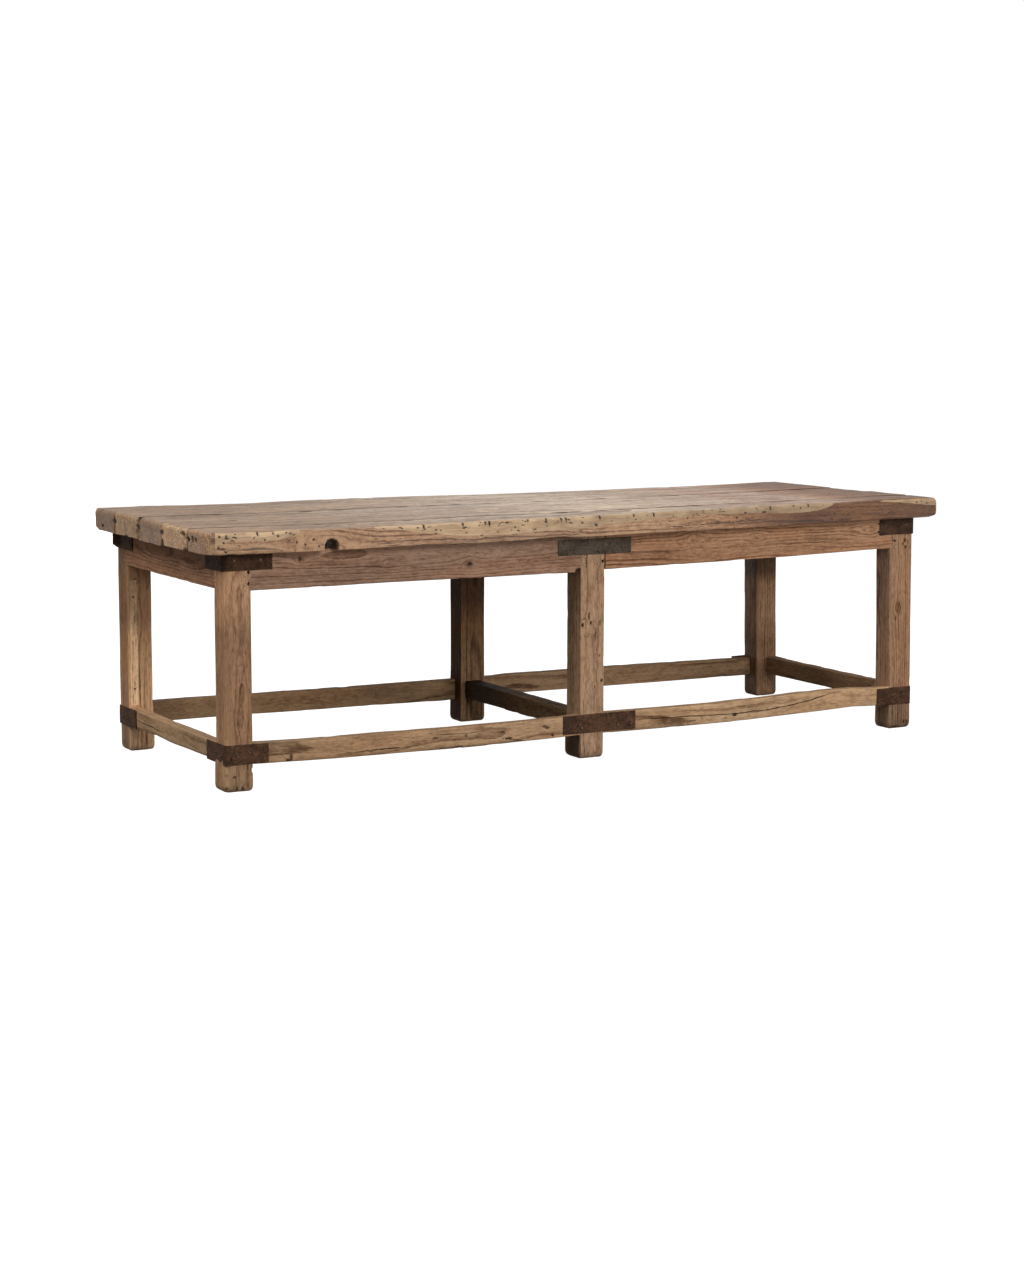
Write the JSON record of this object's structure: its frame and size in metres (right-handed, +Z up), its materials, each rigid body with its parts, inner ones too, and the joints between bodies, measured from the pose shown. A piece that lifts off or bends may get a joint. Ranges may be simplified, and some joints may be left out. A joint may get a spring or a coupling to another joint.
{
  "type": "work table",
  "caption": "Long wooden work table: thick plank top on a pegged frame of square legs, aprons and low stretchers, with nailed iron straps at the corners.",
  "frame": {"origin": "on the floor, under the middle of the plank top", "axes": "+X along the table's length, -Y towards the front, +Z up"},
  "size_m": [2.656, 0.968, 0.784],
  "materials": {
    "top_wood": "worn grey-brown hardwood, dull sheen",
    "frame_wood": "worn brown hardwood, matt",
    "peg_wood": "matt",
    "strap_iron": "dark rust, matt",
    "plate_steel": "dull grey, unpolished",
    "nail_iron": "rusted",
    "screw_steel": "plain"
  },
  "bodies": {
    "root": {"apron_back_left": "frame_wood", "apron_back_right": "frame_wood", "apron_front_left": "frame_wood", "apron_front_right": "frame_wood", "apron_left_end": "frame_wood", "apron_pegs": "peg_wood", "apron_right_end": "frame_wood", "cleat_screws": "screw_steel", "left_top_cleat": "frame_wood", "leg_back_left": "frame_wood", "leg_back_middle": "frame_wood", "leg_back_right": "frame_wood", "leg_front_left": "frame_wood", "leg_front_middle": "frame_wood", "leg_front_right": "frame_wood", "leg_patch": "peg_wood", "lower_strap_back_left": "strap_iron", "lower_strap_back_middle": "strap_iron", "lower_strap_back_right": "strap_iron", "lower_strap_front_left": "strap_iron", "lower_strap_front_middle": "strap_iron", "lower_strap_front_right": "strap_iron", "lower_strap_nails": "nail_iron", "middle_bearer": "frame_wood", "patch_nails": "nail_iron", "plank_dowels": "peg_wood", "right_top_cleat": "frame_wood", "stretcher_back_left": "frame_wood", "stretcher_back_right": "frame_wood", "stretcher_front_left": "frame_wood", "stretcher_front_right": "frame_wood", "stretcher_left_end": "frame_wood", "stretcher_middle": "frame_wood", "stretcher_pegs": "peg_wood", "stretcher_right_end": "frame_wood", "top_plank_1": "top_wood", "top_plank_2": "top_wood", "top_plank_3": "top_wood", "top_plank_4": "top_wood", "top_plank_5": "top_wood", "top_screws": "screw_steel", "upper_plate_back": "plate_steel", "upper_plate_front": "plate_steel", "upper_plate_screws": "nail_iron", "upper_strap_back_left": "strap_iron", "upper_strap_back_right": "strap_iron", "upper_strap_front_left": "strap_iron", "upper_strap_front_right": "strap_iron", "upper_strap_nails": "nail_iron"}
  },
  "joints": []
}
